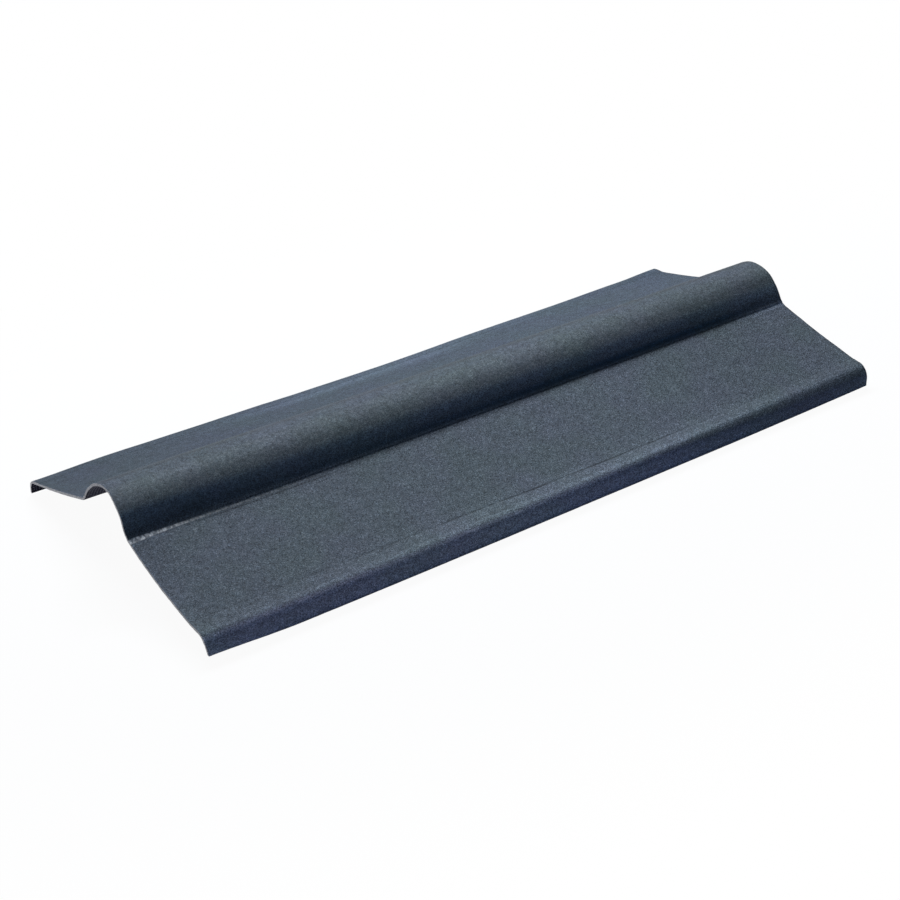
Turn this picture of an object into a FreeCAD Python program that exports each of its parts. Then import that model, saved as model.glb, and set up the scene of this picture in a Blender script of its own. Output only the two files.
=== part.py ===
import FreeCAD
import Part
import math
import os

os.makedirs("parts", exist_ok=True)

# A ridge cap for a light roof: one sheet of bitumen-soaked fibre, pressed hot over a former.
# Its section is a rolled top that flares into two flat wings, each with its outer edge turned down.
# X runs along the ridge, Y across it and Z up. The turned-down edges stand on Z = 0.
# All lengths are in millimetres and all angles in degrees, on the upper face of the sheet.

LENGTH = 1000.0
WIDTH = 424.0
SHEET = 3.0

# The rolled top: a round back and two straight flanks that flare outwards.
ROLL_RADIUS = 50.0
FLANK_ANGLE = 60.0
FLANK_RUN = 20.0

# The soft valley where a flank turns into a wing.
VALLEY_RADIUS = 16.0

# The wings fall gently away from the roll, to lie on the two slopes of the roof.
WING_ANGLE = 15.0

# The outer edge of each wing is turned down into a lip, which flares a little to leave the former.
# WIDTH is measured over the feet of the two lips.
EDGE_RADIUS = 16.0
LIP_RUN = 12.5
LIP_FLARE = 6.0


def vec(y, z):
    return FreeCAD.Vector(0.0, y, z)


def along(angle):
    # direction of a face that falls at this angle, seen from the ridge outwards
    a = math.radians(angle)
    return vec(math.cos(a), -math.sin(a))


def out_of(angle):
    # normal of the same face, pointing out of its upper side
    a = math.radians(angle)
    return vec(math.sin(a), math.cos(a))


def meet(p, u, q, v):
    # crossing of the line through p along u and the line through q along v
    across = u.y * v.z - u.z * v.y
    gap = q - p
    return p + u * ((gap.y * v.z - gap.z * v.y) / across)


def mirror(p):
    return vec(-p.y, p.z)


LIP_ANGLE = 90.0 - LIP_FLARE

# The upper face is set out from the foot of the lip inwards and upwards, so every run stays tangent.
lip_foot = vec(WIDTH / 2.0, 0.0)
edge_centre = lip_foot - along(LIP_ANGLE) * LIP_RUN - out_of(LIP_ANGLE) * EDGE_RADIUS
wing_start = edge_centre + out_of(WING_ANGLE) * EDGE_RADIUS
flank_foot_reach = (out_of(FLANK_ANGLE) * ROLL_RADIUS + along(FLANK_ANGLE) * FLANK_RUN).y
flank_foot = meet(wing_start, along(WING_ANGLE), vec(flank_foot_reach, 0.0), vec(0.0, 1.0))
roll_centre = flank_foot - along(FLANK_ANGLE) * FLANK_RUN - out_of(FLANK_ANGLE) * ROLL_RADIUS

# The valley arc touches the flank and the wing, with its centre above the sheet.
valley_half_turn = math.radians(FLANK_ANGLE - WING_ANGLE) / 2.0
valley_tangent = VALLEY_RADIUS * math.tan(valley_half_turn)
valley_centre = flank_foot + along(WING_ANGLE) * valley_tangent + out_of(WING_ANGLE) * VALLEY_RADIUS


def half_face(depth):
    # points of one half of the face that lies this deep in the sheet, from the ridge to the lip
    roll = ROLL_RADIUS - depth
    valley = VALLEY_RADIUS + depth
    edge = EDGE_RADIUS - depth
    valley_middle = (FLANK_ANGLE + WING_ANGLE) / 2.0
    edge_middle = (WING_ANGLE + LIP_ANGLE) / 2.0
    lip_top = edge_centre + out_of(LIP_ANGLE) * edge
    return {
        "crown": roll_centre + vec(0.0, roll),
        "flank_top": roll_centre + out_of(FLANK_ANGLE) * roll,
        "flank_end": valley_centre - out_of(FLANK_ANGLE) * valley,
        "valley_mid": valley_centre - out_of(valley_middle) * valley,
        "wing_top": valley_centre - out_of(WING_ANGLE) * valley,
        "wing_end": edge_centre + out_of(WING_ANGLE) * edge,
        "edge_mid": edge_centre + out_of(edge_middle) * edge,
        "lip_top": lip_top,
        "lip_end": meet(lip_top, along(LIP_ANGLE), vec(0.0, 0.0), vec(1.0, 0.0)),
    }


def face_edges(p):
    # the edges of one whole face of the sheet, from the left lip over the roll to the right lip
    m = {}
    for name in p:
        m[name] = mirror(p[name])
    return [
        Part.LineSegment(m["lip_end"], m["lip_top"]).toShape(),
        Part.Arc(m["lip_top"], m["edge_mid"], m["wing_end"]).toShape(),
        Part.LineSegment(m["wing_end"], m["wing_top"]).toShape(),
        Part.Arc(m["wing_top"], m["valley_mid"], m["flank_end"]).toShape(),
        Part.LineSegment(m["flank_end"], m["flank_top"]).toShape(),
        Part.Arc(m["flank_top"], p["crown"], p["flank_top"]).toShape(),
        Part.LineSegment(p["flank_top"], p["flank_end"]).toShape(),
        Part.Arc(p["flank_end"], p["valley_mid"], p["wing_top"]).toShape(),
        Part.LineSegment(p["wing_top"], p["wing_end"]).toShape(),
        Part.Arc(p["wing_end"], p["edge_mid"], p["lip_top"]).toShape(),
        Part.LineSegment(p["lip_top"], p["lip_end"]).toShape(),
    ]


upper = half_face(0.0)
lower = half_face(SHEET)

# Both faces and the two narrow feet of the lips close the section.
outline = face_edges(upper) + face_edges(lower)
outline.append(Part.LineSegment(upper["lip_end"], lower["lip_end"]).toShape())
outline.append(Part.LineSegment(mirror(upper["lip_end"]), mirror(lower["lip_end"])).toShape())
section = Part.Face(Part.Wire(Part.__sortEdges__(outline)))

# The section runs straight from end to end, with both ends cut square.
section.translate(FreeCAD.Vector(-LENGTH / 2.0, 0.0, 0.0))
ridge_cap = section.extrude(FreeCAD.Vector(LENGTH, 0.0, 0.0))

ridge_cap.exportStep("parts/ridge_cap.step")
print("height", round(upper["crown"].z, 3), "volume", round(ridge_cap.Volume, 1))
print("foot", upper["valley_mid"], "valid", ridge_cap.isValid())
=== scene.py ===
import math

import bpy
import numpy as np
from mathutils import Matrix, Vector


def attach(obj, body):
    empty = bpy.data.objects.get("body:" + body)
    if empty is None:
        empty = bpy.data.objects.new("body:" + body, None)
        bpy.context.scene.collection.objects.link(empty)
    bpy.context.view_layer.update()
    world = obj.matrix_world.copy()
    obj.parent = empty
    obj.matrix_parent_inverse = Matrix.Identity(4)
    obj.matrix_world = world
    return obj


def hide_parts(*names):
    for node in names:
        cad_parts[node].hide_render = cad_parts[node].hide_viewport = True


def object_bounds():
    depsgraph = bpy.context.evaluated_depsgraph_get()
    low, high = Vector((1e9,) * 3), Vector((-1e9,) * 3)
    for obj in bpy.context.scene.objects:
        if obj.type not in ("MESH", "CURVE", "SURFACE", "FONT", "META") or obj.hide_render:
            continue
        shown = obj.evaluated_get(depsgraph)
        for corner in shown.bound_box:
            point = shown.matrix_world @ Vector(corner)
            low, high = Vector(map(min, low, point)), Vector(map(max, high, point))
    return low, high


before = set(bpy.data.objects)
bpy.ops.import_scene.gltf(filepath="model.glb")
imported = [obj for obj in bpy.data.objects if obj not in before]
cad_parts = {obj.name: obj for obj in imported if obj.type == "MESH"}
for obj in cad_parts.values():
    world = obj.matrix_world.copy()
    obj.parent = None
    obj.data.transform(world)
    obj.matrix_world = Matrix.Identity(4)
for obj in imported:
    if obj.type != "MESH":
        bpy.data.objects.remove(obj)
cad_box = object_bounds()

# ---------------------------------------------------------------- sizes, in millimetres and degrees
# The pressed section is the CAD part's own, given again here because the frame holds only its mesh.
LENGTH = 1000.0
WIDTH = 424.0
SHEET = 3.0
ROLL_RADIUS = 50.0
FLANK_ANGLE = 60.0
FLANK_RUN = 20.4
VALLEY_RADIUS = 9.0
WING_ANGLE = 15.0
FRONT_EDGE_RADIUS = (12.0, 20.0)
BACK_EDGE_RADIUS = 17.0
EAVE_HEIGHT = 22.705
LIP_ANGLE = 88.0

# How this sheet has taken its set: both ends lifted a little, the roll and the wings a little low.
BOW = 2.5
ROLL_DROP = 2.1
WING_DROP = 0.42
WING_HOLLOW = 1.54

MM = 0.001
ROWS = 300


def along(angle):
    a = math.radians(angle)
    return np.array([math.cos(a), -math.sin(a)])


def out_of(angle):
    a = math.radians(angle)
    return np.array([math.sin(a), math.cos(a)])


# ---------------------------------------------------------------- the section of the upper face
lip_foot = np.array([WIDTH / 2, 0.0])


def edge_bend(radius):
    """The centre of the edge bend, which is tangent to the plane of the wing and to the lip."""
    normals = np.array([out_of(WING_ANGLE), out_of(LIP_ANGLE)])
    offsets = [normals[0] @ np.array([WIDTH / 2, EAVE_HEIGHT]) - radius, normals[1] @ lip_foot - radius]
    return np.linalg.solve(normals, offsets)


wing_end = edge_bend(15.0) + out_of(WING_ANGLE) * 15.0
foot_y = (out_of(FLANK_ANGLE) * ROLL_RADIUS + along(FLANK_ANGLE) * FLANK_RUN)[0]
foot = np.array([foot_y, wing_end[1] + (wing_end[0] - foot_y) * math.tan(math.radians(WING_ANGLE))])
roll_centre = foot - along(FLANK_ANGLE) * FLANK_RUN - out_of(FLANK_ANGLE) * ROLL_RADIUS
tangent = VALLEY_RADIUS * math.tan(math.radians(FLANK_ANGLE - WING_ANGLE) / 2)
valley_centre = foot + along(WING_ANGLE) * tangent + out_of(WING_ANGLE) * VALLEY_RADIUS
flank_top = roll_centre + out_of(FLANK_ANGLE) * ROLL_RADIUS
flank_end = valley_centre - out_of(FLANK_ANGLE) * VALLEY_RADIUS
wing_top = valley_centre - out_of(WING_ANGLE) * VALLEY_RADIUS
wing_run = float(np.linalg.norm(wing_end - wing_top))
eave_y = wing_end[0]

FLANK_BULGE = 0.8       # the roll's flanks are pressed a little round, so they are steepest near the valley
STRIP_LIFT = 1.8        # the strip outside the moulded line lies a little flatter than the wing
STRIP_WIDTH = 19.5
LINE_Y = 183.3          # the moulded line's middle place, measured across from the ridge
LIP_STEPS = 6
NEAR_ROLL_LIFT = 2.8
ROUND_FROM = 88.0
CROWN_LIMIT = 107.5
NEAR_WING_ROUND = -3.6
ROLL, FLANK, VALLEY, WING, EDGE, LIP = range(6)


def half_section(edge_radius):
    """Points, outward normals, part and path length of one half, from the ridge to the foot of the lip."""
    pts, nrm, part = [], [], []
    edge_centre = edge_bend(edge_radius)
    edge_start = edge_centre + out_of(WING_ANGLE) * edge_radius
    run = float(np.linalg.norm(edge_start - wing_top))
    line_at = (LINE_Y - wing_top[0]) / math.cos(math.radians(WING_ANGLE))

    def arc(centre, radius, a0, a1, count, name, first=0):
        for a in np.linspace(a0, a1, count + 1)[first:]:
            pts.append(centre + out_of(a) * radius)
            nrm.append(out_of(a))
            part.append(name)

    def line(p, q, angle, shares, name):
        for t in shares:
            pts.append(p + (q - p) * t)
            nrm.append(out_of(angle))
            part.append(name)

    arc(roll_centre, ROLL_RADIUS, 0.0, FLANK_ANGLE, 18, ROLL)
    line(flank_top, flank_end, FLANK_ANGLE, np.linspace(0, 1, 7)[1:-1], FLANK)
    arc(valley_centre, -VALLEY_RADIUS, FLANK_ANGLE, WING_ANGLE, 7, VALLEY)
    near = np.arange(1.0, 8.0, 1.1)
    wide = np.linspace(8.6, line_at - 7.0, 26)
    fine = np.linspace(line_at - 5.9, line_at + 5.9, 12)
    last = line_at + 5.9 + (run - line_at - 5.9) * np.array([0.25, 0.5, 0.75])
    line(wing_top, edge_start, WING_ANGLE, np.concatenate([near, wide, fine, last]) / run, WING)
    arc(edge_centre, edge_radius, WING_ANGLE, LIP_ANGLE, 12, EDGE)
    lip_top = edge_centre + out_of(LIP_ANGLE) * edge_radius
    line(lip_top, lip_foot, LIP_ANGLE, np.linspace(0, 1, LIP_STEPS + 1)[1:], LIP)
    pts, nrm, part = np.array(pts), np.array(nrm), np.array(part)
    path = np.concatenate([[0.0], np.cumsum(np.linalg.norm(np.diff(pts, axis=0), axis=1))])
    return pts, nrm, part, path


def noise2(x, y, cell, seed):
    """Smooth noise from -1 to 1 with features of one cell."""
    n = 257
    grid = np.random.default_rng(seed).uniform(-1, 1, (n, n))
    u, v = x / cell, y / cell
    i, j = np.floor(u).astype(int), np.floor(v).astype(int)
    f, g = u - i, v - j
    f, g = f * f * (3 - 2 * f), g * g * (3 - 2 * g)
    a = grid[i % n, j % n] * (1 - f) + grid[(i + 1) % n, j % n] * f
    b = grid[i % n, (j + 1) % n] * (1 - f) + grid[(i + 1) % n, (j + 1) % n] * f
    return a * (1 - g) + b * g


def whole_section(front_radius):
    """Columns of y, z, normal y, normal z and path length, from the front lip over the ridge to the back lip."""
    front, front_n, _, front_path = half_section(front_radius)
    back, back_n, _, back_path = half_section(BACK_EDGE_RADIUS)
    front = np.column_stack([-front[:, 0], front[:, 1], -front_n[:, 0], front_n[:, 1], -front_path])
    return np.concatenate([front[:0:-1], np.column_stack([back, back_n, back_path])])


_, half_nrm, half_part, half_path = half_section(BACK_EDGE_RADIUS)
left_section, right_section = (whole_section(r) for r in FRONT_EDGE_RADIUS)
part = np.concatenate([half_part[:0:-1], half_part])
path = left_section[:, 4]
COLS = len(path)

wing_top_path = half_path[half_part == VALLEY][-1]
wing_end_path = wing_top_path + wing_run
line_path = wing_top_path + (LINE_Y - wing_top[0]) / math.cos(math.radians(WING_ANGLE))
bulge_from = half_path[np.argmin(np.abs(np.degrees(np.arctan2(half_nrm[:, 0], half_nrm[:, 1])) - 42.0))]
bulge_to = half_path[half_part == FLANK][-1] + 3.0


def ease(v, lo, hi):
    """0 below lo, 1 above hi and a soft step between; lo may be the larger."""
    t = np.clip((v - lo) / (hi - lo), 0, 1)
    return t * t * (3 - 2 * t)


def bell(v, middle, half_width):
    return np.exp(-((v - middle) / half_width) ** 2)


def section_at(x):
    """The section's columns at each place along the ridge: the front edge is bent rounder towards the right end."""
    share = ease(x, 30.0, 370.0)[:, None, None]
    return np.moveaxis(left_section[None] * (1 - share) + right_section[None] * share, 2, 0)


def specimen_set(x, y, z0):
    """How far the handled sheet has moved up or down from the pressed section, in millimetres."""
    near = ease(x, -310.0, -500.0)
    far = ease(x, 360.0, 500.0)
    end_dip = np.clip((-430.0 - x) / 70.0, 0, 1) ** 2
    out = np.clip((np.abs(y) - foot_y) / (eave_y - foot_y), 0, 1)
    back = y > 0
    # the back wing's outer edge hangs low over the left half and stands high at the right end
    drop = 2.15 + 0.75 * ease(x, -200.0, -120.0) - 3.1 * ease(x, -10.0, 195.0) - 1.9 * ease(x, 270.0, 430.0)
    drop = drop + 2.4 * ease(x, -400.0, -500.0) - 2.2 * ease(x, 430.0, 500.0)
    hollow = 2.5 * far * ease(out, 0.20, 0.42) * (1 - ease(out, 0.85, 1.0))
    lift = near * NEAR_ROLL_LIFT * (1 - out) - drop * out - hollow
    # at the left end the roll stands higher and the front wing dips along its cut, at the right end it twists a little
    front_roll = near * NEAR_ROLL_LIFT * (0.35 + 0.65 * np.clip((z0 - 63.0) / 28.0, 0, 1)) * np.clip(1 - out * 3, 0, 1)
    front_wing = end_dip * (NEAR_WING_ROUND * 4 * out * (1 - out) + 0.9 * ease(np.abs(y), 115.0, 150.0) - 0.9 * bell(out, 0.12, 0.18))
    twist = 1.5 * ease(np.abs(y), 110.0, 172.0) - 1.0 + 0.4 * ease(np.abs(y), 76.0, 90.0)
    front_wing = front_wing + far * np.clip(out * 20, 0, 1) * twist
    return np.where(back, lift, front_roll + front_wing)


def specimen_lean(x, s):
    """How far the roll and its flanks have moved square to the sheet at the two ends, in millimetres."""
    near = -3.4 * bell(s, 40.0, 17.5) + 0.7 * bell(s, -22.0, 12.0)
    near = near - 1.3 * bell(s, -9.0 - wing_end_path, 8.0) * np.clip((-440.0 - x) / 60.0, 0, 1)
    far = -1.6 * bell(s, -42.0, 14.0) - 0.6 * bell(s, -66.0, 10.0) + 0.6 * bell(s, 10.0, 10.0)
    return near * ease(x, -310.0, -500.0) + far * ease(x, 360.0, 500.0)


def end_cut(x, s, z0):
    """How far the sheet falls short at its left end, where the cut is a little hollow over the roll and at the front foot."""
    foot_corner = np.where(s < -wing_top_path, 2.4 * np.clip((17.0 - z0) / 17.0, 0, 1), 0.0)
    return (3.6 * bell(s, -2.0, 22.0) + foot_corner) * np.clip((-440.0 - x) / 60.0, 0, 1) ** 2


def sheet_points(rows_x, depth, relief):
    """The face that lies this deep in the sheet, as an array of rows, columns and coordinates in millimetres."""
    x = np.repeat(rows_x[:, None], COLS, 1)
    y0, z0, normal_y, normal_z, s = section_at(rows_x)
    ay = np.abs(y0)
    t = np.clip((ay - foot_y) / (eave_y - foot_y), 0, 1)
    dz = np.where(part == WING, -4 * WING_HOLLOW * t * (1 - t), 0.0)
    dz = dz - ROLL_DROP * np.clip((60 - ay) / 40, 0, 1) * np.clip((z0 - 60) / 48, 0, 1)
    dz = dz - WING_DROP * (part <= EDGE) * np.clip((z0 - 6) / 20, 0, 1)
    # the front flank's foot stands a little nearer to the ridge at the left end
    y = y0 + 2.9 * bell(s, -65.0, 11.0) * ease(x, -310.0, -500.0)
    z = z0 + dz + BOW * (2 * x / LENGTH) ** 2 + specimen_set(x, y0, z0)
    # long slow waves and smaller swells from the press and from drying
    swell = 0.22 * noise2(x + 900, s + 900, 130, 3) + 0.12 * noise2(x + 900, s + 900, 47, 4)
    swell = swell + 0.05 * noise2(x + 900, s + 900, 15, 5)
    swell = swell * np.clip((wing_end_path + 30 - np.abs(s)) / 30, 0.25, 1)
    round_flank = np.clip((np.abs(s) - bulge_from) / (bulge_to - bulge_from), 0, 1)
    swell = swell + FLANK_BULGE * np.sin(math.pi * round_flank) ** 2
    strip = np.clip((-s - line_path) / STRIP_WIDTH, 0, 1)
    z = z + STRIP_LIFT * strip * np.clip(z0 / 6.0, 0, 1)
    push = swell + specimen_lean(x, s)
    y = y + normal_y * push
    z = z + normal_z * push
    # the crown stays under the height of the pressed section: where the roll stands higher, its top is rounder
    highest = z.max(axis=1, keepdims=True)
    near_top = np.clip((z - ROUND_FROM) / (highest - ROUND_FROM), 0, 1)
    z = z - np.maximum(highest - CROWN_LIMIT, 0.0) * near_top ** 2
    push = relief(x, s) - depth
    y = y + normal_y * push
    z = z + normal_z * push
    return np.stack([x + end_cut(x, s, z0), y, z], -1)


def line_route(x):
    """The moulded line's distance from the ridge along the sheet: it runs a little outwards to the right."""
    return line_path + 4.6 * (ease(x, -330.0, 140.0) - 0.5) + 0.8 * noise2(x + 700, x * 0 + 9, 26, 12)


def upper_relief(x, s):
    """The moulded line near each edge, the pressed strip outside it and the faint bead along each crease."""
    a = np.abs(s)
    lp = line_route(x)
    depth = 0.30 * (0.75 + 0.25 * noise2(x + 300, a * 0 + 5, 60, 13))
    groove = -depth * np.exp(-((a - lp) / 0.9) ** 2)
    strip = 0.18 * np.clip((a - lp) / 1.5, 0, 1) * np.clip((wing_end_path + 6 - a) / 6, 0, 1)
    crease = wing_top_path - 1.2
    bead = 0.22 * np.exp(-((a - crease) / 1.0) ** 2) * np.clip(0.5 + 0.8 * noise2(x + 300, a * 0 + 3, 4.5, 14), 0, 1)
    fine = 0.035 * noise2(x, s + 900, 6.5, 15)
    return groove + strip + bead + fine


def under_relief(x, s):
    return 0.05 * noise2(x, s + 900, 9.0, 25)


rows_x = np.linspace(-LENGTH / 2, LENGTH / 2, ROWS + 1)
outer = sheet_points(rows_x, 0.0, upper_relief)
inner = sheet_points(rows_x[::2], SHEET, under_relief)

# the lips are trimmed level, so both faces end at one height, a little uneven along the cut
for face, xs in ((outer, rows_x), (inner, rows_x[::2])):
    for k in (0, COLS - 1):
        trim = 0.10 * (1 + noise2(xs + 500, xs * 0 + k, 21, 31)) + 0.07 * (1 + noise2(xs + 500, xs * 0 + k, 4, 32))
        trim = trim + (4.1 * ease(xs, -385.0, -500.0) if k == 0 else 0.0)
        face[:, k, 2] = BOW * np.abs(2 * xs / LENGTH) ** 3.5 + trim
        lip_top = face[:, LIP_STEPS if k == 0 else COLS - 1 - LIP_STEPS].copy()
        for step in range(1, LIP_STEPS):
            column = step if k == 0 else COLS - 1 - step
            face[:, column] = face[:, k] + (lip_top - face[:, k]) * (step / LIP_STEPS)


# the ends are sawn: each is a band of short fibres, so its edge wanders by fractions of a millimetre
def sawn(depth_mm, end):
    rough = 0.30 * (1 + noise2(path + 900, path * 0 + depth_mm + 40 * end, 5.5, 41))
    rough = rough * 0.6 + 0.22 * (1 + noise2(path + 900, path * 0 + depth_mm + 40 * end, 1.8, 42))
    return rough


bands = []
for end, row_o, row_i in ((0, 0, 0), (1, -1, -1)):
    inward = 1.0 if end == 0 else -1.0
    outer[row_o, :, 0] += inward * (sawn(0.0, end) * 0.55)
    inner[row_i, :, 0] += inward * (sawn(SHEET, end) * 0.55)
    middle = []
    for k in (1, 2):
        m = outer[row_o] * (1 - k / 3) + inner[row_i] * (k / 3)
        m[:, 0] = -inward * LENGTH / 2 + inward * sawn(k, end) * 0.6 + end_cut(-inward * LENGTH / 2, path, left_section[:, 1])
        middle.append(m)
    bands.append(middle)

half_w, top = WIDTH / 2, cad_box[1][2] / MM


def boxed(p):
    p[..., 0] = np.clip(p[..., 0], -LENGTH / 2, LENGTH / 2)
    p[..., 1] = np.clip(p[..., 1], -half_w, half_w)
    p[..., 2] = np.clip(p[..., 2], 0.0, top)
    return p


outer, inner = boxed(outer), boxed(inner)
bands = [[boxed(m) for m in pair] for pair in bands]

# ---------------------------------------------------------------- one closed mesh
verts = [outer.reshape(-1, 3), inner.reshape(-1, 3)] + [m for pair in bands for m in pair]
offs = np.concatenate([[0], np.cumsum([len(v) for v in verts])])
oid = np.arange(offs[0], offs[1]).reshape(outer.shape[:2])
iid = np.arange(offs[1], offs[2]).reshape(inner.shape[:2])
mid = [[np.arange(offs[2 + 2 * e + k], offs[3 + 2 * e + k]) for k in (0, 1)] for e in (0, 1)]


def grid_faces(ids, flip):
    a, b, c, d = ids[:-1, :-1], ids[1:, :-1], ids[1:, 1:], ids[:-1, 1:]
    q = np.stack([a, b, c, d] if not flip else [a, d, c, b], -1)
    return q.reshape(-1, 4).tolist()


faces = grid_faces(oid, False)
n_upper = len(faces)
faces += grid_faces(iid, True)
n_under = len(faces) - n_upper
for e, (ro, ri) in enumerate(((0, 0), (-1, -1))):
    chain = np.stack([oid[ro], mid[e][0], mid[e][1], iid[ri]])
    faces += grid_faces(chain, e == 1)
for k, flip in ((0, True), (COLS - 1, False)):
    for i in range(0, ROWS, 2):
        ring = [oid[i, k], oid[i + 1, k], oid[i + 2, k]]
        if i + 2 == ROWS:
            ring += [mid[1][0][k], mid[1][1][k]]
        ring += [iid[i // 2 + 1, k], iid[i // 2, k]]
        if i == 0:
            ring += [mid[0][1][k], mid[0][0][k]]
        ring = [int(v) for v in ring]
        faces.append(ring[::-1] if flip else ring)

mesh = bpy.data.meshes.new("ridge_cap_sheet")
mesh.from_pydata((np.concatenate(verts) * MM).tolist(), [], faces)
mesh.validate()
mesh.update()
index = np.full(len(mesh.polygons), 2, np.int32)
index[:n_upper] = 0
index[n_upper:n_upper + n_under] = 1
mesh.polygons.foreach_set("material_index", index)
mesh.polygons.foreach_set("use_smooth", index < 2)

# place on the flat sheet, in millimetres: along the ridge and across it, with the ridge at 0
flat_xy = [np.stack([np.repeat(xs[:, None], COLS, 1), section_at(xs)[4]], -1).reshape(-1, 2) for xs in (rows_x, rows_x[::2])]
for end_x, columns in ((-LENGTH / 2, left_section), (LENGTH / 2, right_section)):
    for k in (0, 1):
        flat_xy.append(np.stack([np.full(COLS, end_x), columns[:, 4]], -1))
flat_xy = np.concatenate(flat_xy)
place = mesh.attributes.new("sheet", "FLOAT_VECTOR", "POINT")
place.data.foreach_set("vector", np.column_stack([flat_xy, np.zeros(len(flat_xy))]).astype(np.float32).ravel())

# distance outside the moulded line, distance from the crease, and how strongly the line is printed
fx, fa = flat_xy[:, 0], np.abs(flat_xy[:, 1])
printed = np.clip(0.75 + 0.5 * noise2(fx + 700, fx * 0 + 31, 17, 51), 0, 1) * np.clip((330 - fx) / 200, 0.1, 1)
printed = printed * np.where(flat_xy[:, 1] < 0, 1.0, 0.6)
marks = np.column_stack([fa - line_route(fx), fa - wing_top_path + 1.2, printed])
mesh.attributes.new("marks", "FLOAT_VECTOR", "POINT").data.foreach_set("vector", marks.astype(np.float32).ravel())

sheet = bpy.data.objects.new("ridge_cap_sheet", mesh)
bpy.context.scene.collection.objects.link(sheet)


# ---------------------------------------------------------------- materials
class Net:
    """Short ways to add nodes to one material."""

    def __init__(self, name):
        self.mat = bpy.data.materials.new(name)
        self.mat.use_nodes = True
        self.tree = self.mat.node_tree
        self.tree.nodes.clear()

    def node(self, kind, ins=None, **props):
        n = self.tree.nodes.new(kind)
        for k, v in props.items():
            setattr(n, k, v)
        for k, v in (ins or {}).items():
            if isinstance(v, bpy.types.NodeSocket):
                self.tree.links.new(v, n.inputs[k])
            else:
                n.inputs[k].default_value = v
        return n

    def math(self, op, a, b=0.0, c=0.0, clamp=False):
        n = self.node("ShaderNodeMath", {0: a, 1: b, 2: c}, operation=op, use_clamp=clamp)
        return n.outputs[0]

    def vmath(self, op, a, b):
        return self.node("ShaderNodeVectorMath", {0: a, 1: b}, operation=op).outputs[0]

    def noise(self, vec, scale, detail=2.0, rough=0.5, dist=0.0):
        ins = {"Vector": vec, "Scale": scale, "Detail": detail, "Roughness": rough, "Distortion": dist}
        return self.node("ShaderNodeTexNoise", ins).outputs["Fac"]

    def fit(self, v, lo, hi, a=0.0, b=1.0, smooth=False):
        kind = "SMOOTHSTEP" if smooth else "LINEAR"
        ins = {"Value": v, "From Min": lo, "From Max": hi, "To Min": a, "To Max": b}
        return self.node("ShaderNodeMapRange", ins, interpolation_type=kind, clamp=True).outputs["Result"]

    def blend(self, fac, a, b, mode="MIX"):
        n = self.node("ShaderNodeMix", data_type="RGBA", blend_type=mode)
        for sock, v in ((n.inputs[0], fac), (n.inputs[6], a), (n.inputs[7], b)):
            if isinstance(v, bpy.types.NodeSocket):
                self.tree.links.new(v, sock)
            else:
                sock.default_value = v
        return n.outputs[2]

    def gain(self, colour, value):
        """The colour times a number."""
        return self.vmath("MULTIPLY", colour, self.node("ShaderNodeCombineXYZ", {0: value, 1: value, 2: value}).outputs[0])

    def finish(self, **ins):
        shader = self.node("ShaderNodeBsdfPrincipled")
        for k, v in ins.items():
            k = k.replace("_", " ")
            if isinstance(v, bpy.types.NodeSocket):
                self.tree.links.new(v, shader.inputs[k])
            else:
                shader.inputs[k].default_value = v
        out = self.node("ShaderNodeOutputMaterial")
        self.tree.links.new(shader.outputs[0], out.inputs[0])
        return self.mat


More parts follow.
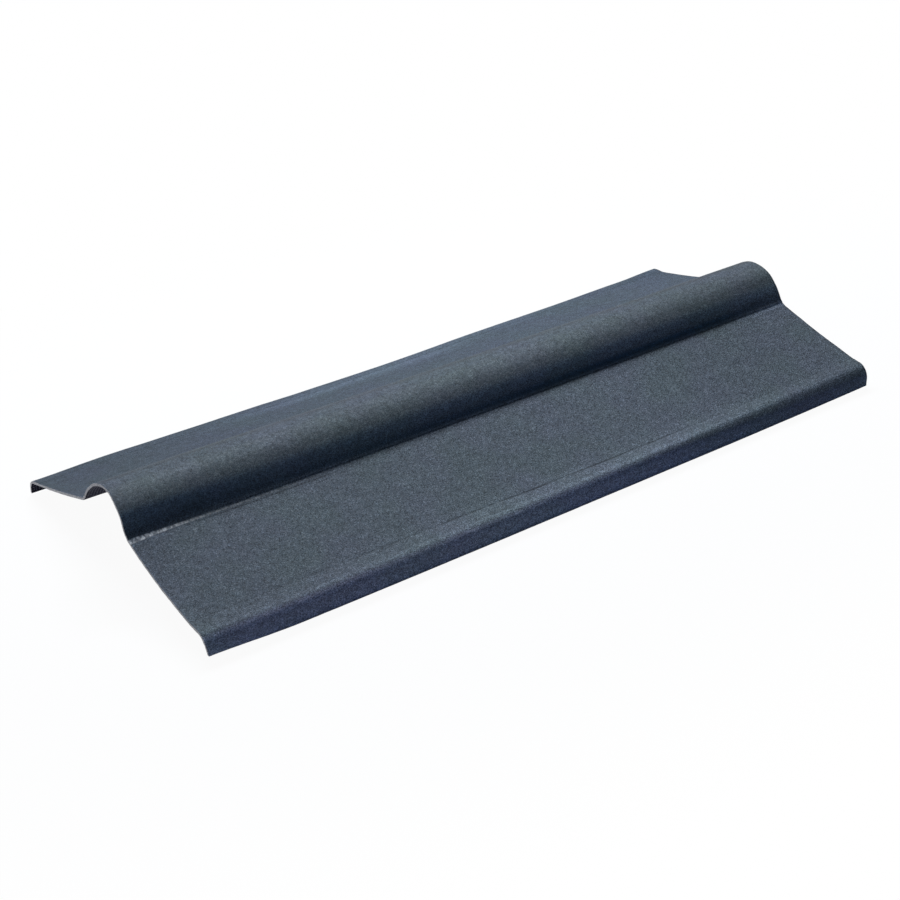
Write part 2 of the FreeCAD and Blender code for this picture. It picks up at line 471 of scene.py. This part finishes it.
def upper_face():
    n = Net("bitumen_fibre_upper")
    flat = n.node("ShaderNodeAttribute", attribute_name="sheet").outputs["Vector"]
    marks = n.node("ShaderNodeSeparateXYZ", {0: n.node("ShaderNodeAttribute", attribute_name="marks").outputs["Vector"]})
    split = n.node("ShaderNodeSeparateXYZ", {0: flat})
    x, s = split.outputs[0], split.outputs[1]
    a = n.math("ABSOLUTE", s)
    # grain of the felted fibres: specks of about a millimetre, and the fine diamond imprint of the forming wire
    grain = n.noise(flat, 0.62, 2.0, 0.6)
    specks = n.noise(n.vmath("ADD", flat, (311.0, 97.0, 5.0)), 1.15, 1.0, 0.5)
    clumps = n.noise(n.vmath("ADD", flat, (57.0, 31.0, 9.0)), 0.26, 2.0, 0.5)
    warp = n.noise(flat, 0.12, 1.0)
    ux = n.math("ADD", n.math("MULTIPLY", n.math("ADD", x, s), 2 * math.pi / 3.4), n.math("MULTIPLY", warp, 5.0))
    uy = n.math("ADD", n.math("MULTIPLY", n.math("SUBTRACT", x, s), 2 * math.pi / 3.4), n.math("MULTIPLY", warp, -5.0))
    wire = n.math("MULTIPLY", n.math("SINE", ux), n.math("SINE", uy))
    mottle = n.noise(flat, 0.075, 3.0, 0.55)
    patch = n.noise(n.vmath("ADD", flat, (70.0, 20.0, 0.0)), 0.011, 2.0, 0.5)
    streak = n.noise(n.vmath("MULTIPLY", flat, (0.05, 1.0, 1.0)), 0.16, 3.0, 0.6)
    tint = n.noise(n.vmath("ADD", flat, (19.0, 83.0, 3.0)), 0.5, 1.0, 0.5)
    contrast = n.math("MULTIPLY", n.fit(x, -500.0, 500.0, 1.0, 1.5), n.fit(s, -60.0, -35.0, 1.0, 0.66))

    def speckle(v, amount):
        """Light and dark specks about 1, stronger towards the right end of the front wing."""
        return n.math("ADD", 1.0, n.math("MULTIPLY", n.math("MULTIPLY", n.math("SUBTRACT", v, 0.5), amount), contrast))

    pits = n.noise(n.vmath("ADD", flat, (7.0, 143.0, 2.0)), 0.85, 0.0)
    tone = n.math("MULTIPLY", speckle(grain, 2.9), speckle(specks, 2.2))
    tone = n.math("MULTIPLY", tone, n.fit(pits, 0.62, 0.76, 1.02, 0.55))
    tone = n.math("MULTIPLY", tone, n.fit(clumps, 0.0, 1.0, 0.32, 1.68))
    tone = n.math("MULTIPLY", tone, n.fit(wire, -1.0, 1.0, 0.95, 1.05))
    tone = n.math("MULTIPLY", tone, n.fit(mottle, 0.3, 0.7, 0.89, 1.11))
    tone = n.math("MULTIPLY", tone, n.fit(streak, 0.3, 0.7, 0.95, 1.05))
    tone = n.math("MAXIMUM", tone, 0.12)
    base = n.blend(n.fit(patch, 0.38, 0.62), (0.089, 0.117, 0.141, 1), (0.093, 0.115, 0.151, 1))
    base = n.blend(n.fit(tint, 0.3, 0.7), n.vmath("MULTIPLY", base, (1.03, 0.995, 0.965)), n.vmath("MULTIPLY", base, (0.97, 1.005, 1.035)))
    base = n.gain(base, tone)
    # pale dashes along the crease at one end, partly scuffs and partly painted highlight where the raised bead catches
    # the light, with a thin dark line below, and the moulded line with its lighter strip
    front_only = n.math("LESS_THAN", s, 0.0)
    beads = n.noise(n.vmath("MULTIPLY", flat, (1.0, 0.6, 1.0)), 0.20, 2.0, 0.6)
    from_scuff_glint = n.math("MULTIPLY", n.math("ABSOLUTE", n.math("SUBTRACT", marks.outputs[1], 0.6)), n.fit(x, -490.0, -400.0, 0.64, 1.35))
    scuff_glint = n.math("MULTIPLY", n.fit(from_scuff_glint, 1.0, 2.1, 1.0, 0.0, smooth=True), n.fit(beads, 0.44, 0.58, 0.22, 1.0))
    scuff_glint_span = n.math("MULTIPLY", n.fit(x, -455.0, -400.0, 1.0, 0.25), n.fit(x, -380.0, -250.0, 1.0, 0.0))
    scuff_glint = n.math("MULTIPLY", scuff_glint, n.math("MULTIPLY", scuff_glint_span, front_only))
    base = n.blend(scuff_glint, base, (0.78, 0.82, 0.86, 1))
    # painted light: the wing just outside the crease is lightened at the left end, where the roll's shadow falls
    crease_shadow_lift = n.fit(n.math("ABSOLUTE", n.math("SUBTRACT", marks.outputs[1], 4.0)), 1.0, 9.0, 1.0, 0.0, smooth=True)
    crease_shadow_lift = n.math("MULTIPLY", n.math("MULTIPLY", crease_shadow_lift, front_only), n.fit(x, -490.0, -430.0, 1.0, 0.0))
    base = n.gain(base, n.fit(crease_shadow_lift, 0.0, 1.0, 1.0, 1.35))
    second = n.fit(n.math("ABSOLUTE", n.math("SUBTRACT", marks.outputs[1], 4.4)), 0.4, 1.4, 1.0, 0.0, smooth=True)
    second = n.math("MULTIPLY", second, n.fit(n.math("ABSOLUTE", n.math("ADD", x, 330.0)), 60.0, 120.0, 1.0, 0.0, smooth=True))
    base = n.gain(base, n.fit(n.math("MULTIPLY", second, front_only), 0.0, 1.0, 1.0, 0.55))
    line = n.math("MULTIPLY", n.fit(n.math("ABSOLUTE", marks.outputs[0]), 0.4, 2.3, 1.0, 0.0, smooth=True), marks.outputs[2])
    base = n.gain(base, n.fit(n.math("MULTIPLY", line, n.fit(x, -350.0, -60.0, 0.25, 1.0)), 0.0, 1.0, 1.0, 0.4))
    strip = n.math("MULTIPLY", n.fit(marks.outputs[0], -18.0, 5.0, 0.0, 1.0), n.fit(a, wing_end_path + 2.0, wing_end_path + 9.0, 1.0, 0.0))
    lighter = n.math("MULTIPLY", n.fit(x, -420.0, 0.0, 0.0, 0.25), n.fit(x, 200.0, 380.0, 1.0, 0.3))
    base = n.gain(base, n.math("ADD", 1.0, n.math("MULTIPLY", strip, lighter)))
    # painted shade darkens the valley, but not at the right end; pale dust lies along the crease at the right end
    valley_shade = n.fit(n.math("ABSOLUTE", n.math("SUBTRACT", a, wing_top_path - 6.5)), 2.0, 7.0, 1.0, 0.0, smooth=True)
    valley_shade = n.math("MULTIPLY", valley_shade, n.math("MULTIPLY", n.fit(x, -260.0, 120.0, 0.2, 1.0), n.fit(x, 360.0, 470.0, 1.0, 0.2)))
    base = n.gain(base, n.fit(valley_shade, 0.0, 1.0, 1.0, 0.6))
    dusty = n.fit(n.math("ABSOLUTE", n.math("SUBTRACT", marks.outputs[1], -0.5)), 1.0, 6.0, 1.0, 0.0, smooth=True)
    dusty = n.math("MULTIPLY", n.math("MULTIPLY", dusty, front_only), n.fit(x, 390.0, 470.0))
    base = n.gain(base, n.fit(dusty, 0.0, 1.0, 1.0, 2.0))
    # painted light in front of the roll's crown and near the top of its flank, and painted shade just behind the crown
    # and down its far side
    crown_light_shade = n.fit(n.math("ABSOLUTE", n.math("ADD", s, 15.0)), 2.0, 15.0, 0.20, 0.0, smooth=True)
    crown_light_shade = n.math("MULTIPLY", crown_light_shade, n.math("MULTIPLY", n.fit(x, 80.0, 200.0, 1.0, 0.4), n.fit(x, -495.0, -440.0)))
    shaded = n.fit(n.math("ABSOLUTE", n.math("SUBTRACT", s, 6.0)), 3.0, 15.0, 0.18, 0.0, smooth=True)
    crown_light_shade = n.math("SUBTRACT", crown_light_shade, n.math("MULTIPLY", shaded, n.fit(n.math("ABSOLUTE", n.math("ADD", x, 390.0)), 30.0, 90.0, 1.0, 0.4)))
    crown_light_shade = n.math("SUBTRACT", crown_light_shade, n.fit(n.math("ABSOLUTE", n.math("SUBTRACT", s, 24.0)), 6.0, 20.0, 0.40, 0.0, smooth=True))
    flank_light = n.fit(n.math("ABSOLUTE", n.math("ADD", s, 49.0)), 2.0, 14.0, 0.40, 0.0, smooth=True)
    base = n.gain(base, n.math("ADD", 1.0, n.math("ADD", crown_light_shade, flank_light)))
    greyer = n.fit(n.math("ABSOLUTE", n.math("ADD", s, 25.0)), 14.0, 26.0, 1.0, 0.0, smooth=True)
    base = n.blend(greyer, base, n.vmath("MULTIPLY", base, (1.02, 1.01, 0.95)))
    # painted shade, darker and bluer, at the foot of the flank and down its steep part
    foot_shade = n.fit(n.math("ABSOLUTE", n.math("ADD", s, 66.0)), 1.0, 9.0, 1.0, 0.0, smooth=True)
    foot_shade = n.math("MULTIPLY", foot_shade, n.math("MULTIPLY", n.fit(x, -480.0, 200.0, 0.0, 1.0), n.fit(x, 380.0, 460.0, 1.0, 0.2)))
    base = n.blend(foot_shade, base, n.vmath("MULTIPLY", base, (0.24, 0.45, 0.64)))
    steep_shade = n.fit(n.math("ABSOLUTE", n.math("ADD", s, 56.0)), 8.0, 20.0, 1.0, 0.0, smooth=True)
    base = n.blend(steep_shade, base, n.vmath("MULTIPLY", base, (0.73, 0.80, 0.87)))
    base = n.gain(base, n.fit(x, 150.0, 350.0, 1.0, 0.90))
    # painted light on the front edge: lighter at the start of the bend, and on the lip a bluer painted fill light,
    # paler towards the left end and along its foot
    edge_from = n.math("SUBTRACT", a, n.fit(x, 30.0, 370.0, wing_end_path, wing_end_path + 8.0))
    edge_highlight = n.fit(n.math("ABSOLUTE", n.math("SUBTRACT", a, wing_end_path + 1.0)), 1.0, 6.0, 0.32, 0.0, smooth=True)
    base = n.gain(base, n.math("ADD", 1.0, n.math("MULTIPLY", edge_highlight, front_only)))
    on_lip = n.math("MULTIPLY", n.fit(edge_from, 3.0, 8.0), front_only)
    lip_light = n.math("MULTIPLY", n.fit(x, -150.0, 360.0, 1.5, 0.58), n.fit(a, wing_end_path + 20.0, wing_end_path + 29.0, 1.0, 1.65))
    bend_light = n.fit(n.math("ABSOLUTE", n.math("SUBTRACT", edge_from, 9.0)), 1.0, 6.5, 1.0, 0.0, smooth=True)
    bend_light = n.math("MULTIPLY", bend_light, n.fit(x, -460.0, 200.0, 0.6, 0.05))
    lip_light = n.math("MULTIPLY", lip_light, n.math("ADD", 1.0, bend_light))
    lip_fill_tint = n.blend(n.fit(x, -150.0, 300.0), n.vmath("MULTIPLY", base, (0.96, 0.87, 0.96)), n.vmath("MULTIPLY", base, (0.98, 1.02, 1.27)))
    base = n.blend(on_lip, base, n.gain(lip_fill_tint, lip_light))
    # painted shade: the back wing darker and bluer, most at the left end
    back_shade = n.fit(x, -450.0, 450.0, 0.49, 0.70)
    base = n.blend(n.fit(s, 45.0, 80.0), base, n.gain(n.vmath("MULTIPLY", base, (0.96, 1.03, 1.13)), back_shade))
    # painted highlight: a soft lighter band across the back wing, near the middle of its length
    back_highlight = n.fit(n.math("ABSOLUTE", n.math("SUBTRACT", s, wing_end_path - 27.0)), 1.0, 22.0, 1.0, 0.0, smooth=True)
    back_highlight = n.math("MULTIPLY", back_highlight, n.fit(n.math("ABSOLUTE", n.math("ADD", x, 60.0)), 80.0, 260.0, 1.0, 0.0, smooth=True))
    base = n.gain(base, n.fit(back_highlight, 0.0, 1.0, 1.0, 1.45))
    height = n.math("ADD", n.math("MULTIPLY", grain, 0.45), n.math("MULTIPLY", specks, 0.25))
    height = n.math("ADD", height, n.math("MULTIPLY", wire, 0.03))
    bump = n.node("ShaderNodeBump", {"Strength": 1.0, "Distance": 0.001, "Height": height}).outputs[0]
    rough = n.fit(grain, 0.2, 0.8, 0.70, 0.54)
    return n.finish(Base_Color=base, Roughness=rough, Normal=bump, IOR=1.5, Specular_IOR_Level=0.05)


def under_face():
    n = Net("bitumen_fibre_under")
    flat = n.node("ShaderNodeAttribute", attribute_name="sheet").outputs["Vector"]
    split = n.node("ShaderNodeSeparateXYZ", {0: flat})
    x, s = split.outputs[0], split.outputs[1]
    warp = n.noise(flat, 0.1, 1.0)
    # the wet sheet lay on a woven wire, which left a field of small raised dots
    k = 2 * math.pi / 7.5
    ux = n.math("ADD", n.math("MULTIPLY", n.math("ADD", x, s), k), n.math("MULTIPLY", warp, 4.0))
    uy = n.math("ADD", n.math("MULTIPLY", n.math("SUBTRACT", x, s), k), n.math("MULTIPLY", warp, -4.0))
    wire = n.math("MULTIPLY", n.math("SINE", ux), n.math("SINE", uy))
    grain = n.noise(flat, 0.5, 3.0, 0.6)
    mottle = n.noise(flat, 0.04, 3.0, 0.6)
    tone = n.math("MULTIPLY", n.fit(grain, 0.2, 0.8, 0.6, 1.4), n.fit(mottle, 0.3, 0.7, 0.85, 1.15))
    dots = n.math("MULTIPLY", n.fit(wire, 0.15, 0.7, smooth=True), n.fit(grain, 0.35, 0.65, 0.5, 1.0))
    base = n.blend(dots, (0.018, 0.017, 0.034, 1), (0.250, 0.250, 0.300, 1))
    base = n.gain(base, tone)
    height = n.math("ADD", n.math("MULTIPLY", dots, 0.22), n.math("MULTIPLY", grain, 0.25))
    bump = n.node("ShaderNodeBump", {"Strength": 1.0, "Distance": 0.001, "Height": height}).outputs[0]
    return n.finish(Base_Color=base, Roughness=0.82, Normal=bump, IOR=1.5, Specular_IOR_Level=0.2)


def cut_edge():
    n = Net("bitumen_fibre_cut")
    place = n.node("ShaderNodeTexCoord").outputs["Object"]
    fibres = n.noise(place, 900.0, 3.0, 0.6)
    layers = n.noise(n.vmath("MULTIPLY", place, (1.0, 0.25, 1.0)), 1500.0, 2.0, 0.5)
    tone = n.math("MULTIPLY", n.fit(fibres, 0.25, 0.75, 0.6, 1.4), n.fit(layers, 0.3, 0.7, 0.85, 1.15))
    base = n.gain(n.blend(n.fit(fibres, 0.35, 0.65), (0.62, 0.555, 0.51, 1), (0.76, 0.69, 0.64, 1)), tone)
    bump = n.node("ShaderNodeBump", {"Strength": 0.8, "Distance": 0.0004, "Height": fibres}).outputs[0]
    return n.finish(Base_Color=base, Roughness=0.9, Normal=bump, IOR=1.5, Specular_IOR_Level=0.2)


for material in (upper_face(), under_face(), cut_edge()):
    sheet.data.materials.append(material)

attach(sheet, "root")
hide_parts("ridge_cap")


# ---------------------------------------------------------------- floor and world
def white_to_camera(n, surface, share):
    """The surface, blended with a plain white glow where the camera, a mirror or glass sees it."""
    path_node = n.node("ShaderNodeLightPath")
    seen = n.math("MAXIMUM", path_node.outputs["Is Camera Ray"], path_node.outputs["Is Transmission Ray"])
    seen = n.math("MAXIMUM", seen, path_node.outputs["Is Glossy Ray"])
    glow = n.node("ShaderNodeEmission", {"Color": (1, 1, 1, 1), "Strength": 1.0}).outputs[0]
    return n.node("ShaderNodeMixShader", {0: n.math("MULTIPLY", seen, share), 1: surface, 2: glow}).outputs[0]


FLOOR_HALF = 6.0
floor_mesh = bpy.data.meshes.new("floor")
corners = [(-FLOOR_HALF, -FLOOR_HALF, 0), (FLOOR_HALF, -FLOOR_HALF, 0), (FLOOR_HALF, FLOOR_HALF, 0), (-FLOOR_HALF, FLOOR_HALF, 0)]
floor_mesh.from_pydata(corners, [], [(0, 1, 2, 3)])
floor = bpy.data.objects.new("floor", floor_mesh)
bpy.context.scene.collection.objects.link(floor)
n = Net("floor_white")
ground = n.node("ShaderNodeTexCoord").outputs["Object"]
reach = n.node("ShaderNodeVectorMath", {0: n.vmath("MULTIPLY", ground, (0.55, 1.0, 1.0))}, operation="LENGTH").outputs["Value"]
pale = n.blend(n.fit(reach, 0.40, 0.90, smooth=True), (0.80, 0.88, 1.0, 1), (0.60, 0.68, 0.80, 1))
paint = n.node("ShaderNodeBsdfDiffuse", {"Color": pale}).outputs[0]
glow_share = n.fit(reach, 0.30, 0.75, 0.95, 1.0, smooth=True)
out = n.node("ShaderNodeOutputMaterial", {0: white_to_camera(n, paint, glow_share)})
floor_mesh.materials.append(n.mat)

world = bpy.data.worlds.new("studio")
bpy.context.scene.world = world
world.use_nodes = True
tree = world.node_tree
tree.nodes.clear()
lp = tree.nodes.new("ShaderNodeLightPath")
dim = tree.nodes.new("ShaderNodeBackground")
dim.inputs[0].default_value = (0.40, 0.62, 1.0, 1)
dim.inputs[1].default_value = 0.07
white = tree.nodes.new("ShaderNodeBackground")
white.inputs[0].default_value = (1, 1, 1, 1)
mix = tree.nodes.new("ShaderNodeMixShader")
wout = tree.nodes.new("ShaderNodeOutputWorld")
seen = lp.outputs["Is Camera Ray"]
for ray in ("Is Transmission Ray", "Is Glossy Ray"):
    either = tree.nodes.new("ShaderNodeMath")
    either.operation = "MAXIMUM"
    tree.links.new(seen, either.inputs[0])
    tree.links.new(lp.outputs[ray], either.inputs[1])
    seen = either.outputs[0]
tree.links.new(seen, mix.inputs[0])
tree.links.new(dim.outputs[0], mix.inputs[1])
tree.links.new(white.outputs[0], mix.inputs[2])
tree.links.new(mix.outputs[0], wout.inputs[0])


# ---------------------------------------------------------------- lamps
def softbox(name, place, aim, width, height, power, colour=(1, 1, 1)):
    lamp = bpy.data.lights.new(name, "AREA")
    lamp.shape = "RECTANGLE"
    lamp.size, lamp.size_y = width, height
    lamp.energy = power
    lamp.color = colour
    o = bpy.data.objects.new(name, lamp)
    bpy.context.scene.collection.objects.link(o)
    o.location = place
    o.rotation_euler = (Vector(aim) - Vector(place)).to_track_quat("-Z", "Y").to_euler()
    return o


softbox("key", (0.376, 1.404, 2.155), (0, 0, 0.05), 2.3, 0.62, 92.0)

# ---------------------------------------------------------------- camera, at the photograph's own viewpoint
AZIMUTH, ELEVATION, TILT = -36.57, 29.285, 0.617
az, el, tilt = (math.radians(v) for v in (AZIMUTH, ELEVATION, TILT))
back = Vector((math.sin(az) * math.cos(el), -math.cos(az) * math.cos(el), math.sin(el)))
right = (-back).cross(Vector((0, 0, 1))).normalized()
down = (-back).cross(right)
right, down = right * math.cos(tilt) + down * math.sin(tilt), down * math.cos(tilt) - right * math.sin(tilt)
lens = bpy.data.cameras.new("photo_view")
lens.sensor_fit = "HORIZONTAL"
lens.sensor_width = 36.0
lens.lens = 1668.496 / 900 * 36.0
lens.clip_end = 50.0
camera = bpy.data.objects.new("photo_view", lens)
bpy.context.scene.collection.objects.link(camera)
camera.matrix_world = Matrix.Translation((-1.119969, -1.465814, 1.017399)) @ Matrix((right, -down, back)).transposed().to_4x4()
bpy.context.scene.camera = camera
bpy.context.scene.view_settings.view_transform = "Standard"
